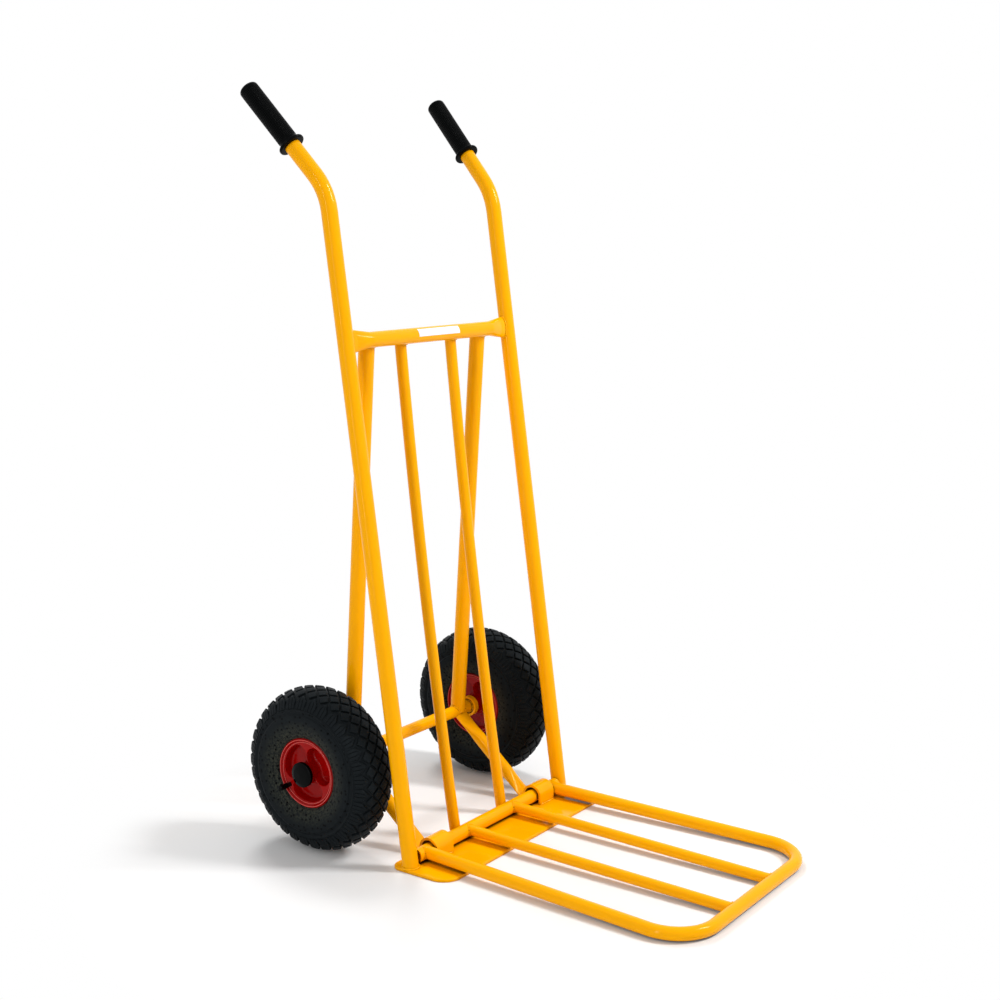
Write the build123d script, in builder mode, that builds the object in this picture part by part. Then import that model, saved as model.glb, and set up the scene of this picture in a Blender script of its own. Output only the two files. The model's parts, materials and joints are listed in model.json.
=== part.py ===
from build123d import *
import math
import os

# Two-wheeled hand truck with a fold-down tube platform.
# Lengths are in millimetres and angles in degrees. X runs across the truck, the
# platform points to -Y, the handles and wheels lie to +Y, and the floor is Z = 0.
# Left is the -X side, as seen from in front of the platform.

# Stiles and handles
stile_spacing = 408.0
stile_lean = 8.1
stile_diameter = 25.0
stile_wall = 2.0
bend_height = 1010.0
bend_radius = 100.0
handle_angle = 42.0
handle_reach = 200.0
handle_splay = 20.0

# Handle grips
grip_length = 115.0
grip_wall = 2.5
grip_end_wall = 4.0
grip_end_round = 5.0
grip_flange_height = 5.5
grip_flange_thickness = 5.0
grip_flange_round = 1.5

# Toe plate
plate_side_margin = 1.0
plate_front = 81.0
plate_rear = 30.0
plate_thickness = 5.0
plate_front_corner = 30.0
plate_rear_corner = 16.0
plate_edge_round = 1.5

# Crossbar, with both ends pressed to a tall narrow oval
crossbar_height = 792.0
crossbar_diameter = 24.0
crossbar_wall = 2.0
crossbar_end_height = 33.0
crossbar_end_depth = 12.0
crossbar_taper = 32.0
crossbar_flat = 8.0

# Blank sticker on the upper front of the crossbar
label_length = 103.0
label_offset = 6.0
label_thickness = 0.3
label_tilt = 25.0
label_arc = 60.0

# Inner back bars
inner_bar_spacing = 126.0
inner_bar_diameter = 18.0
inner_bar_wall = 1.5
inner_bar_gap = 0.5
inner_bar_setback = 12.5
inner_bar_bow = 7.0

# Rear struts and lower struts, in line with the hinge knuckles
strut_diameter = 25.0
strut_wall = 2.0
strut_setback = 14.0
lower_strut_diameter = 22.0
lower_strut_wall = 2.0
lower_strut_flat_width = 31.0
lower_strut_flat_thickness = 6.0
lower_strut_flat = 16.0
lower_strut_taper = 36.0

# Hinge and its strap knuckles
hinge_setback = 1.0
hinge_diameter = 22.0
hinge_wall = 2.5
hinge_lift = 0.8
hinge_end_gap = 1.5
knuckle_loop_gap = 1.0
knuckle_width = 40.0
knuckle_thickness = 4.0
knuckle_side_gap = 3.0
knuckle_top_gap = 4.2

# Platform, a little wider at its front than at the hinge
platform_length = 473.0
platform_end_margin = 9.0
platform_splay = 20.0
platform_lift = 2.0
platform_diameter = 20.0
platform_wall = 2.0
platform_corner = 65.0
platform_bar_spacing = 122.0
platform_bar_diameter = 17.0
platform_bar_wall = 1.5

# Axle and what sits on it
axle_diameter = 20.0
axle_chamfer = 1.0
axle_stub = 3.5
collar_gap = 15.5
collar_recess = 3.5
collar_wall = 4.0
collar_floor = 3.0
collar_length = 9.0
washer_width = 5.0
washer_thickness = 2.0
washer_clearance = 0.3
cap_wall = 4.5
cap_end_wall = 3.0
cap_round = 3.5

# Hub and bearings
hub_length = 75.0
hub_wall = 3.0
hub_end_gap = 0.5
bearing_wall = 4.0
bearing_length = 20.0
bearing_clearance = 0.05

# Tyre and inner tube, with the shares of the tyre's section that shape it
wheel_radius = 130.0
wheel_gap = 8.5
tyre_width_share = 1.05
tyre_belly_share = 0.475
tyre_crown_drop_share = 0.144
tyre_crown_share = 0.76
tyre_wall = 6.0
tyre_tread = 9.0
tyre_bead_width = 9.0
tyre_bead_height = 8.0
bead_clearance = 0.2
tube_wall = 2.0
tube_clearance = 0.5
tube_rim_gap = 5.5

# Shoulder lugs: pointed grooves part them, in shares of their pitch and of half the crown
lug_count = 33
lug_groove_share = 0.2
lug_groove_depth = 2.9
lug_groove_tip_share = 0.27
lug_groove_foot_share = 0.55
lug_groove_tilt = 15.0

# Moulded rim halves: a bead ring, a floor and ridges between kidney-shaped pockets
rim_seat_radius = 50.0
rim_half_width = 34.0
rim_flange_height = 6.0
rim_flange_width = 4.5
rim_lip = 2.0
rim_ring_wall = 2.5
rim_inner_lip = 1.5
web_inset = 3.5
web_step = 1.5
web_floor = 16.0
web_floor_thickness = 4.0
pocket_count = 3
pocket_turn = 31.0
pocket_draft = 8.0
ridge_width = 4.0

# Valve
valve_diameter = 7.0
valve_turn = 216.0
valve_seat = 10.0
valve_reach = 8.0
valve_cap_diameter = 8.5
valve_cap_length = 15.0
valve_cap_round = 1.5

# Worked-out sizes
SIDES = {"left": -1, "right": 1}
lean_slope = math.tan(math.radians(stile_lean))
lean_sine = math.sin(math.radians(stile_lean))
lean_cosine = math.cos(math.radians(stile_lean))
stile_direction = Vector(0, lean_sine, lean_cosine)
handle_rise = handle_reach * math.cos(math.radians(handle_angle))
handle_back = handle_reach * math.sin(math.radians(handle_angle))
grip_diameter = stile_diameter + 2 * grip_wall
grip_flange_diameter = grip_diameter + 2 * grip_flange_height
plate_width = stile_spacing + stile_diameter + 2 * plate_side_margin
crossbar_setback = crossbar_height * lean_slope
hinge_height = plate_thickness + hinge_lift + hinge_diameter / 2
hinge_half_length = stile_spacing / 2 - stile_diameter / 2 - hinge_end_gap
inner_bar_foot = hinge_setback + hinge_diameter / 2 + inner_bar_diameter / 2 + inner_bar_gap
platform_width = 2 * (hinge_half_length - platform_end_margin) - platform_diameter
knuckle_inner = hinge_diameter / 2 + knuckle_side_gap
knuckle_outer = knuckle_inner + knuckle_thickness
knuckle_arc_height = hinge_height + hinge_diameter / 2 + knuckle_top_gap - knuckle_inner
strut_spacing = platform_width - platform_diameter - 2 * knuckle_loop_gap - knuckle_width
lower_strut_foot = (hinge_setback + knuckle_outer + plate_rear) / 2
axle_height = wheel_radius
axle_setback = axle_height * lean_slope + (wheel_radius + stile_diameter / 2 + wheel_gap) / lean_cosine
collar_end = strut_spacing / 2 + strut_diameter / 2 + collar_gap + collar_length
wheel_centre = collar_end + hub_end_gap + hub_length / 2
collar_diameter = axle_diameter + 2 * collar_recess + 2 * collar_wall
washer_diameter = axle_diameter + 2 * washer_width
cap_diameter = washer_diameter + 2 * washer_clearance + 2 * cap_wall
cap_start = hub_length / 2 + hub_end_gap
cap_length = washer_thickness + axle_stub + cap_end_wall
axle_half_length = wheel_centre + cap_start + washer_thickness + axle_stub
bearing_diameter = axle_diameter + 2 * bearing_clearance + 2 * bearing_wall
hub_diameter = bearing_diameter + 2 * hub_wall
rim_lip_radius = rim_seat_radius + rim_flange_height
tyre_section = wheel_radius - rim_seat_radius
tyre_width = tyre_width_share * tyre_section
tyre_belly_radius = rim_seat_radius + tyre_belly_share * tyre_section
tyre_crown_drop = tyre_crown_drop_share * tyre_section
tyre_crown_width = tyre_crown_share * tyre_width
crown_edge = tyre_crown_width / 2
crown_edge_radius = wheel_radius - tyre_crown_drop
crown_arc_radius = (crown_edge**2 + tyre_crown_drop**2) / (2 * tyre_crown_drop)
crown_edge_angle = math.degrees(math.asin(crown_edge / crown_arc_radius))
crown_half_run = math.radians(crown_edge_angle) * crown_arc_radius
lug_pitch = 2 * math.pi * wheel_radius / lug_count
tube_radius = (tyre_section - tyre_tread - tube_clearance - tube_rim_gap) / 2
tube_centre = rim_seat_radius + tube_rim_gap + tube_radius
web_height = rim_half_width - web_inset
pocket_outer = rim_seat_radius - rim_ring_wall
pocket_inner = hub_diameter / 2 - rim_inner_lip
pocket_radius = (pocket_outer + pocket_inner) / 2
pocket_width = pocket_outer - pocket_inner
pocket_end_angle = math.degrees((pocket_width + ridge_width) / 2 / pocket_radius)
pocket_sweep = 360 / pocket_count - 2 * pocket_end_angle
valve_radius = pocket_outer - valve_diameter / 2


def stile_point(side, height):
    """Point on a stile's centre line at a height above the floor."""
    return Vector(side * stile_spacing / 2, height * lean_slope, height)


def handle_vector(side):
    """From the bend's corner to the outer end of the grip."""
    return Vector(side * handle_splay, handle_back, handle_rise)


def across(y, z):
    """Plane square to X, for round pieces that run across the truck."""
    return Plane(origin=(0, y, z), x_dir=(0, 1, 0), z_dir=(1, 0, 0))


def wheel_plane(side):
    """Half-section plane of a wheel: local x runs outward, local y runs up."""
    centre = (side * wheel_centre, axle_setback, axle_height)
    return Plane(origin=centre, x_dir=(side, 0, 0), z_dir=(0, -side, 0))


def wheel_face(side, outward):
    """Plane square to the axle: local x points to the front, local z outward."""
    centre = (side * (wheel_centre + outward), axle_setback, axle_height)
    return Plane(origin=centre, x_dir=(0, -1, 0), z_dir=(side, 0, 0))


def wheel_turn(side, degrees):
    """Angle on a wheel face, counted from the front and upwards on both sides."""
    return -side * degrees


def shoulder_plane(way):
    """Floor of a groove on a tyre's shoulder; local x runs round the wheel, local y away from the crown."""
    facing = math.radians(crown_edge_angle + lug_groove_tilt)
    normal = (math.cos(facing), 0, way * math.sin(facing))
    edge = Plane(origin=(crown_edge_radius, 0, way * crown_edge), x_dir=(0, way, 0), z_dir=normal)
    return edge.offset(-lug_groove_depth)


def outward_axis(side):
    """Axis that points away from the truck's middle."""
    return Axis((0, 0, 0), (side, 0, 0))


def save(piece, name):
    """Label a finished piece and write it as its own file."""
    piece.part.label = name
    export_step(piece.part, f"parts/{name}.step")


os.makedirs("parts", exist_ok=True)
crossbar_axis = across(crossbar_setback, crossbar_height)
axle_axis = across(axle_setback, axle_height)
hinge_axis = across(hinge_setback, hinge_height)
plate_top = Plane.XY.offset(plate_thickness)
wheel_axis = Axis((0, axle_setback, axle_height), (1, 0, 0))

# Toe plate: flat steel with rounded corners
with BuildPart() as toe_plate:
    with BuildSketch() as plate_outline:
        with Locations((0, (plate_rear - plate_front) / 2)):
            Rectangle(plate_width, plate_front + plate_rear)
        fillet(plate_outline.vertices().group_by(Axis.Y)[-1], plate_rear_corner)
        fillet(plate_outline.vertices().group_by(Axis.Y)[0], plate_front_corner)
    extrude(amount=plate_thickness)
    fillet(toe_plate.faces().sort_by(Axis.Z)[-1].edges(), plate_edge_round)
save(toe_plate, "toe_plate")

# Stiles: one bent tube each, from the toe plate up into the grip
for hand, side in SIDES.items():
    bend = stile_point(side, bend_height)
    handle = handle_vector(side)
    tube_end = bend + handle - handle.normalized() * grip_end_wall
    with BuildPart() as stile:
        with BuildLine() as stile_line:
            FilletPolyline(stile_point(side, -stile_diameter), bend, tube_end, radius=bend_radius)
        with BuildSketch(Plane(origin=stile_line.line @ 0, z_dir=stile_line.line % 0)):
            Circle(stile_diameter / 2)
            Circle(stile_diameter / 2 - stile_wall, mode=Mode.SUBTRACT)
        sweep()
        split(bisect_by=plate_top, keep=Keep.TOP)
    save(stile, f"{hand}_stile")

    # Grip: rubber sleeve with a closed outer end and a flange at the hand side
    grip_start = bend + handle - handle.normalized() * grip_length
    with BuildPart() as grip:
        with BuildSketch(Plane(origin=grip_start, x_dir=(1, 0, 0), z_dir=handle)):
            Circle(grip_diameter / 2)
        extrude(amount=grip_length)
        fillet(grip.edges().sort_by(Axis.Z)[-1], grip_end_round)
        with BuildSketch(Plane(origin=grip_start, x_dir=(1, 0, 0), z_dir=handle)):
            Circle(grip_flange_diameter / 2)
        extrude(amount=grip_flange_thickness)
        flange_rim = grip.edges().filter_by(GeomType.CIRCLE).sort_by(SortBy.RADIUS)[-2:]
        fillet(flange_rim, grip_flange_round)
        with BuildSketch(Plane(origin=grip_start, x_dir=(1, 0, 0), z_dir=handle)):
            Circle(stile_diameter / 2)
        extrude(amount=grip_length - grip_end_wall, mode=Mode.SUBTRACT)
    save(grip, f"{hand}_grip")

# Crossbar: round in the middle, pressed oval and coped where it meets the stiles
oval_end = stile_spacing / 2 - stile_diameter / 2 - crossbar_flat
round_end = oval_end - crossbar_taper
with BuildPart() as crossbar:
    with BuildSketch(crossbar_axis.offset(-round_end)):
        Circle(crossbar_diameter / 2)
        Circle(crossbar_diameter / 2 - crossbar_wall, mode=Mode.SUBTRACT)
    extrude(amount=2 * round_end)
    for side in SIDES.values():
        oval_origin = (side * oval_end, crossbar_setback, crossbar_height)
        oval_plane = Plane(origin=oval_origin, x_dir=stile_direction, z_dir=(side, 0, 0))
        with BuildSketch(oval_plane.offset(-crossbar_taper)):
            Circle(crossbar_diameter / 2)
        with BuildSketch(oval_plane):
            Ellipse(crossbar_end_height / 2, crossbar_end_depth / 2)
        loft()
        with BuildSketch(oval_plane):
            Ellipse(crossbar_end_height / 2, crossbar_end_depth / 2)
        extrude(amount=crossbar_flat + stile_diameter / 2)
        with Locations(Plane(origin=stile_point(side, crossbar_height), z_dir=stile_direction)):
            Cylinder(stile_diameter / 2, 3 * crossbar_end_height, mode=Mode.SUBTRACT)
save(crossbar, "crossbar")

# Blank sticker wrapped round the upper front of the crossbar
label_start = 180 - label_tilt - label_arc / 2
with BuildPart() as label:
    with BuildSketch(crossbar_axis.offset(label_offset - label_length / 2)):
        with BuildLine():
            under = CenterArc((0, 0), crossbar_diameter / 2, label_start, label_arc)
            over = CenterArc((0, 0), crossbar_diameter / 2 + label_thickness, label_start, label_arc)
            Line(under @ 0, over @ 0)
            Line(under @ 1, over @ 1)
        make_face()
    extrude(amount=label_length)
save(label, "blank_label")

# Inner back bars: slightly bowed tubes from the toe plate to the back of the crossbar
bar_top_y = crossbar_setback + inner_bar_setback
bar_rise = crossbar_height - plate_thickness
bar_slope = (bar_top_y - inner_bar_foot) / bar_rise
for hand, side in SIDES.items():
    bar_x = side * inner_bar_spacing / 2
    spare = Vector(0, bar_slope, 1) * inner_bar_diameter
    bar_low = Vector(bar_x, inner_bar_foot, plate_thickness) - spare
    bar_high = Vector(bar_x, bar_top_y, crossbar_height) + spare
    bar_middle = (bar_low + bar_high) * 0.5 + Vector(0, inner_bar_bow, 0)
    with BuildPart() as inner_bar:
        with BuildLine() as bar_line:
            Spline(bar_low, bar_middle, bar_high)
        with BuildSketch(Plane(origin=bar_low, x_dir=(1, 0, 0), z_dir=bar_line.line % 0)):
            Circle(inner_bar_diameter / 2)
            Circle(inner_bar_diameter / 2 - inner_bar_wall, mode=Mode.SUBTRACT)
        sweep()
        split(bisect_by=plate_top, keep=Keep.TOP)
        split(bisect_by=Plane.XY.offset(crossbar_height), keep=Keep.BOTTOM)
        with Locations(crossbar_axis):
            Cylinder(crossbar_diameter / 2, stile_spacing, mode=Mode.SUBTRACT)
    save(inner_bar, f"{hand}_inner_bar")

# Rear struts: from the axle up to the back of the crossbar
for hand, side in SIDES.items():
    strut_foot = Vector(side * strut_spacing / 2, axle_setback, axle_height)
    strut_top = Vector(side * strut_spacing / 2, crossbar_setback + strut_setback, crossbar_height)
    strut = strut_top - strut_foot
    with BuildPart() as rear_strut:
        with BuildSketch(Plane(origin=strut_foot, x_dir=(1, 0, 0), z_dir=strut)):
            Circle(strut_diameter / 2)
            Circle(strut_diameter / 2 - strut_wall, mode=Mode.SUBTRACT)
        extrude(amount=strut.length + strut_diameter)
        split(bisect_by=Plane.XY.offset(crossbar_height), keep=Keep.BOTTOM)
        with Locations(crossbar_axis):
            Cylinder(crossbar_diameter / 2, stile_spacing, mode=Mode.SUBTRACT)
        with Locations(axle_axis):
            Cylinder(axle_diameter / 2, stile_spacing, mode=Mode.SUBTRACT)
    save(rear_strut, f"{hand}_rear_strut")

# Lower struts: round tubes with both ends pressed flat, from the toe plate to the axle
for hand, side in SIDES.items():
    brace_foot = Vector(side * strut_spacing / 2, lower_strut_foot, plate_thickness)
    brace = Vector(side * strut_spacing / 2, axle_setback, axle_height) - brace_foot
    brace_plane = Plane(origin=brace_foot, x_dir=(1, 0, 0), z_dir=brace)
    low_round = lower_strut_flat + lower_strut_taper
    high_round = brace.length - axle_diameter / 2 - low_round
    with BuildPart() as lower_strut:
        with BuildSketch(brace_plane.offset(low_round)):
            Circle(lower_strut_diameter / 2)
            Circle(lower_strut_diameter / 2 - lower_strut_wall, mode=Mode.SUBTRACT)
        extrude(amount=high_round - low_round)
        for round_at, flat_at, end_at in (
            (low_round, lower_strut_flat, -lower_strut_flat),
            (high_round, high_round + lower_strut_taper, brace.length),
        ):
            with BuildSketch(brace_plane.offset(round_at)):
                Circle(lower_strut_diameter / 2)
            with BuildSketch(brace_plane.offset(flat_at)):
                Ellipse(lower_strut_flat_width / 2, lower_strut_flat_thickness / 2)
            loft()
            with BuildSketch(brace_plane.offset(flat_at)):
                Ellipse(lower_strut_flat_width / 2, lower_strut_flat_thickness / 2)
            extrude(amount=end_at - flat_at)
        split(bisect_by=plate_top, keep=Keep.TOP)
        with Locations(axle_axis):
            Cylinder(axle_diameter / 2, stile_spacing, mode=Mode.SUBTRACT)
    save(lower_strut, f"{hand}_lower_strut")

# Knuckles: strap bent over the hinge tube and welded to the toe plate
for hand, side in SIDES.items():
    knuckle_start = side * strut_spacing / 2 - knuckle_width / 2
    with BuildPart() as knuckle:
        with BuildSketch(Plane.YZ.offset(knuckle_start)):
            for size, mode in ((knuckle_outer, Mode.ADD), (knuckle_inner, Mode.SUBTRACT)):
                with Locations((hinge_setback, knuckle_arc_height)):
                    Circle(size, mode=mode)
                leg = knuckle_arc_height - plate_thickness
                with Locations((hinge_setback, knuckle_arc_height - leg / 2)):
                    Rectangle(2 * size, leg, mode=mode)
        extrude(amount=knuckle_width)
        split(bisect_by=plate_top, keep=Keep.TOP)
    save(knuckle, f"{hand}_knuckle")

# Axle: one bar through both wheels
with BuildPart() as axle:
    with BuildSketch(axle_axis.offset(-axle_half_length)):
        Circle(axle_diameter / 2)
    extrude(amount=2 * axle_half_length)
    chamfer(axle.edges().filter_by(GeomType.CIRCLE), axle_chamfer)
save(axle, "axle")

for hand, side in SIDES.items():
    # Collar: cupped ring welded to the axle, with its open side towards the middle
    with BuildPart() as collar:
        with BuildSketch(wheel_face(side, collar_end - wheel_centre)):
            Circle(collar_diameter / 2)
            Circle(axle_diameter / 2, mode=Mode.SUBTRACT)
        extrude(amount=-collar_length)
        with BuildSketch(wheel_face(side, collar_end - wheel_centre - collar_floor)):
            Circle(collar_diameter / 2 - collar_wall)
        extrude(amount=-collar_length, mode=Mode.SUBTRACT)
    save(collar, f"{hand}_axle_collar")

    # Washer that holds the wheel on the axle, inside the cap
    with BuildPart() as washer:
        with BuildSketch(wheel_face(side, cap_start)):
            Circle(washer_diameter / 2)
            Circle(axle_diameter / 2, mode=Mode.SUBTRACT)
        extrude(amount=washer_thickness)
    save(washer, f"{hand}_axle_washer")

    # Cap pressed on the end of the axle, over the washer
    with BuildPart() as hub_cap:
        with BuildSketch(wheel_face(side, cap_start)):
            Circle(cap_diameter / 2)
        extrude(amount=cap_length)
        cap_edge = hub_cap.edges().filter_by(GeomType.CIRCLE).sort_by(outward_axis(side))[-1]
        fillet(cap_edge, cap_round)
        for bore, depth in (
            (washer_diameter / 2 + washer_clearance, washer_thickness),
            (axle_diameter / 2, washer_thickness + axle_stub),
        ):
            with BuildSketch(wheel_face(side, cap_start)):
                Circle(bore)
            extrude(amount=depth, mode=Mode.SUBTRACT)
    save(hub_cap, f"{hand}_hub_cap")

# Platform: a bent tube loop on the hinge tube, resting on the floor at its front
front_height = platform_diameter / 2
platform_drop = math.asin((hinge_height + platform_lift - front_height) / platform_length)
platform_plane = Plane(
    origin=(0, hinge_setback, hinge_height + platform_lift),
    x_dir=(1, 0, 0),
    z_dir=(0, -math.sin(platform_drop), math.cos(platform_drop)),
)
with BuildPart() as hinge_tube:
    with BuildSketch(hinge_axis.offset(-hinge_half_length)):
        Circle(hinge_diameter / 2)
        Circle(hinge_diameter / 2 - hinge_wall, mode=Mode.SUBTRACT)
    extrude(amount=2 * hinge_half_length)
save(hinge_tube, "hinge_tube")

half_width = platform_width / 2
front_half_width = half_width + platform_splay
loop_start = -hinge_diameter / 4
with BuildPart() as platform_loop:
    with BuildLine(platform_plane) as loop_line:
        FilletPolyline(
            (-half_width, loop_start),
            (-front_half_width, -platform_length),
            (front_half_width, -platform_length),
            (half_width, loop_start),
            radius=platform_corner,
        )
    with BuildSketch(Plane(origin=loop_line.line @ 0, z_dir=loop_line.line % 0)):
        Circle(platform_diameter / 2)
        Circle(platform_diameter / 2 - platform_wall, mode=Mode.SUBTRACT)
    sweep()
    with Locations(hinge_axis):
        Cylinder(hinge_diameter / 2, 2 * platform_width, mode=Mode.SUBTRACT)
save(platform_loop, "platform_loop")

for hand, side in SIDES.items():
    with BuildPart() as platform_bar:
        bar_origin = platform_plane.from_local_coords((side * platform_bar_spacing / 2, 0, 0))
        with BuildSketch(Plane(origin=bar_origin, x_dir=(1, 0, 0), z_dir=-platform_plane.y_dir)):
            Circle(platform_bar_diameter / 2)
            Circle(platform_bar_diameter / 2 - platform_bar_wall, mode=Mode.SUBTRACT)
        extrude(amount=platform_length)
        with Locations(hinge_axis):
            Cylinder(hinge_diameter / 2, platform_width, mode=Mode.SUBTRACT)
        front_axis = Plane(origin=platform_plane.from_local_coords((0, -platform_length, 0)), z_dir=(1, 0, 0))
        with Locations(front_axis):
            Cylinder(platform_diameter / 2, platform_width, mode=Mode.SUBTRACT)
    save(platform_bar, f"{hand}_platform_bar")

# Grooves between the shoulder lugs: one for each shoulder, set out about the Z axis
lug_grooves = []
for way in (-1, 1):
    with BuildPart() as lug_groove:
        with BuildSketch(shoulder_plane(way)):
            half_groove = lug_groove_share * lug_pitch / 2
            with BuildLine():
                Polyline(
                    (0, -lug_groove_tip_share * crown_half_run),
                    (half_groove, 0),
                    (half_groove, lug_groove_foot_share * crown_half_run),
                    (-half_groove, lug_groove_foot_share * crown_half_run),
                    (-half_groove, 0),
                    close=True,
                )
            make_face()
        extrude(amount=2 * lug_groove_depth)
    lug_grooves.append(lug_groove.part)

# Tyre: open at the beads, thicker under the tread, with lugs on both shoulders
seat_end = rim_half_width - rim_flange_width
bead_radius = rim_seat_radius + bead_clearance
bead_heel = seat_end - bead_clearance
bead_toe = bead_heel - tyre_bead_width
belly = tyre_width / 2
flange_clear = rim_lip_radius + bead_clearance
with BuildPart() as lugged_tyre:
    with BuildSketch(Plane.XZ):
        with BuildLine():
            ThreePointArc(
                (crown_edge_radius, -crown_edge),
                (wheel_radius, 0),
                (crown_edge_radius, crown_edge),
            )
            ThreePointArc(
                (crown_edge_radius - tyre_tread, tyre_wall - crown_edge),
                (wheel_radius - tyre_tread, 0),
                (crown_edge_radius - tyre_tread, crown_edge - tyre_wall),
            )
            for way in (-1, 1):
                outside = ThreePointArc(
                    (crown_edge_radius, way * crown_edge),
                    (tyre_belly_radius, way * belly),
                    (flange_clear, way * rim_half_width),
                )
                inside = ThreePointArc(
                    (crown_edge_radius - tyre_tread, way * (crown_edge - tyre_wall)),
                    (tyre_belly_radius, way * (belly - tyre_wall)),
                    (bead_radius + tyre_bead_height, way * bead_toe),
                )
                Polyline(
                    outside @ 1,
                    (flange_clear, way * bead_heel),
                    (bead_radius, way * bead_heel),
                    (bead_radius, way * bead_toe),
                    inside @ 1,
                )
        make_face()
    revolve(axis=Axis.Z)
    with PolarLocations(0, lug_count):
        add(lug_grooves, mode=Mode.SUBTRACT)

# Wheels: each half-section is drawn outward from the wheel's middle plane
for hand, side in SIDES.items():
    section = wheel_plane(side)
    with BuildPart() as tyre:
        with Locations(wheel_face(side, 0)):
            add(lugged_tyre.part)
    save(tyre, f"{hand}_tyre")

    # Inner tube: thin ring that fills the tyre
    with BuildPart() as inner_tube:
        with BuildSketch(section):
            with Locations((0, tube_centre)):
                Circle(tube_radius)
                Circle(tube_radius - tube_wall, mode=Mode.SUBTRACT)
        revolve(axis=wheel_axis)
    save(inner_tube, f"{hand}_inner_tube")

    # Rim halves: bead ring and pocketed web, meeting on the wheel's middle plane
    pocket_spines = []
    for count in range(pocket_count):
        middle = wheel_turn(side, pocket_turn + count * 360 / pocket_count)
        start = middle - pocket_sweep / 2
        pocket_spines.append(CenterArc((0, 0), pocket_radius, start, pocket_sweep))
    for half, way in (("outer", 1), ("inner", -1)):
        with BuildPart() as rim:
            with BuildSketch(section):
                with BuildLine():
                    Polyline(
                        (0, rim_seat_radius),
                        (way * seat_end, rim_seat_radius),
                        (way * (rim_half_width - rim_lip), rim_lip_radius),
                        (way * rim_half_width, rim_lip_radius),
                        (way * rim_half_width, rim_lip_radius - rim_lip),
                        (way * (web_height + web_step), rim_seat_radius - rim_inner_lip),
                        (way * web_height, rim_seat_radius - rim_inner_lip),
                        (way * web_height, hub_diameter / 2),
                        (way * (web_floor - web_floor_thickness), hub_diameter / 2),
                        (way * (web_floor - web_floor_thickness), pocket_outer),
                        (0, pocket_outer),
                        close=True,
                    )
                make_face()
            revolve(axis=wheel_axis)
            with BuildSketch(wheel_face(side, way * web_height)):
                for spine in pocket_spines:
                    SlotArc(spine, pocket_width)
            extrude(amount=-way * (web_height - web_floor), taper=pocket_draft, mode=Mode.SUBTRACT)
            if half == "outer":
                with BuildSketch(wheel_face(side, web_height - valve_seat)):
                    with PolarLocations(valve_radius, 1, wheel_turn(side, valve_turn)):
                        Circle(valve_diameter / 2)
                extrude(amount=valve_seat, mode=Mode.SUBTRACT)
        save(rim, f"{hand}_{half}_rim")

        # Plain bearing bush, flush with the hub's end
        with BuildPart() as bearing:
            with BuildSketch(wheel_face(side, way * hub_length / 2)):
                Circle(bearing_diameter / 2)
                Circle(axle_diameter / 2 + bearing_clearance, mode=Mode.SUBTRACT)
            extrude(amount=-way * bearing_length)
        save(bearing, f"{hand}_{half}_bearing")

    # Hub: tube through both rim halves
    with BuildPart() as hub:
        with BuildSketch(wheel_face(side, -hub_length / 2)):
            Circle(hub_diameter / 2)
            Circle(bearing_diameter / 2, mode=Mode.SUBTRACT)
        extrude(amount=hub_length)
    save(hub, f"{hand}_hub")

    # Valve: rubber stem out of a ridge's wide end, with a screw cap on it
    with BuildPart() as valve_stem:
        with BuildSketch(wheel_face(side, web_height - valve_seat)):
            with PolarLocations(valve_radius, 1, wheel_turn(side, valve_turn)):
                Circle(valve_diameter / 2)
        extrude(amount=valve_seat + valve_reach)
    save(valve_stem, f"{hand}_valve_stem")

    with BuildPart() as valve_cap:
        with BuildSketch(wheel_face(side, web_height + valve_reach)):
            with PolarLocations(valve_radius, 1, wheel_turn(side, valve_turn)):
                Circle(valve_cap_diameter / 2)
        extrude(amount=valve_cap_length)
        tip = valve_cap.edges().filter_by(GeomType.CIRCLE).sort_by(outward_axis(side))[-1]
        fillet(tip, valve_cap_round)
    save(valve_cap, f"{hand}_valve_cap")
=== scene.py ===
"""Studio scene of a two-wheeled hand truck with a tube platform that folds up against its back."""
import json
import logging
import math
from bisect import bisect_right
from collections.abc import Iterable, Sequence
from dataclasses import dataclass, field
from enum import Enum
from functools import cache
from itertools import accumulate, groupby

import bmesh
import bpy
from bpy.types import ID, Material, Node, NodeSocket, NodeTree, Object
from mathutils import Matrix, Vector
from mathutils.geometry import delaunay_2d_cdt


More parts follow.
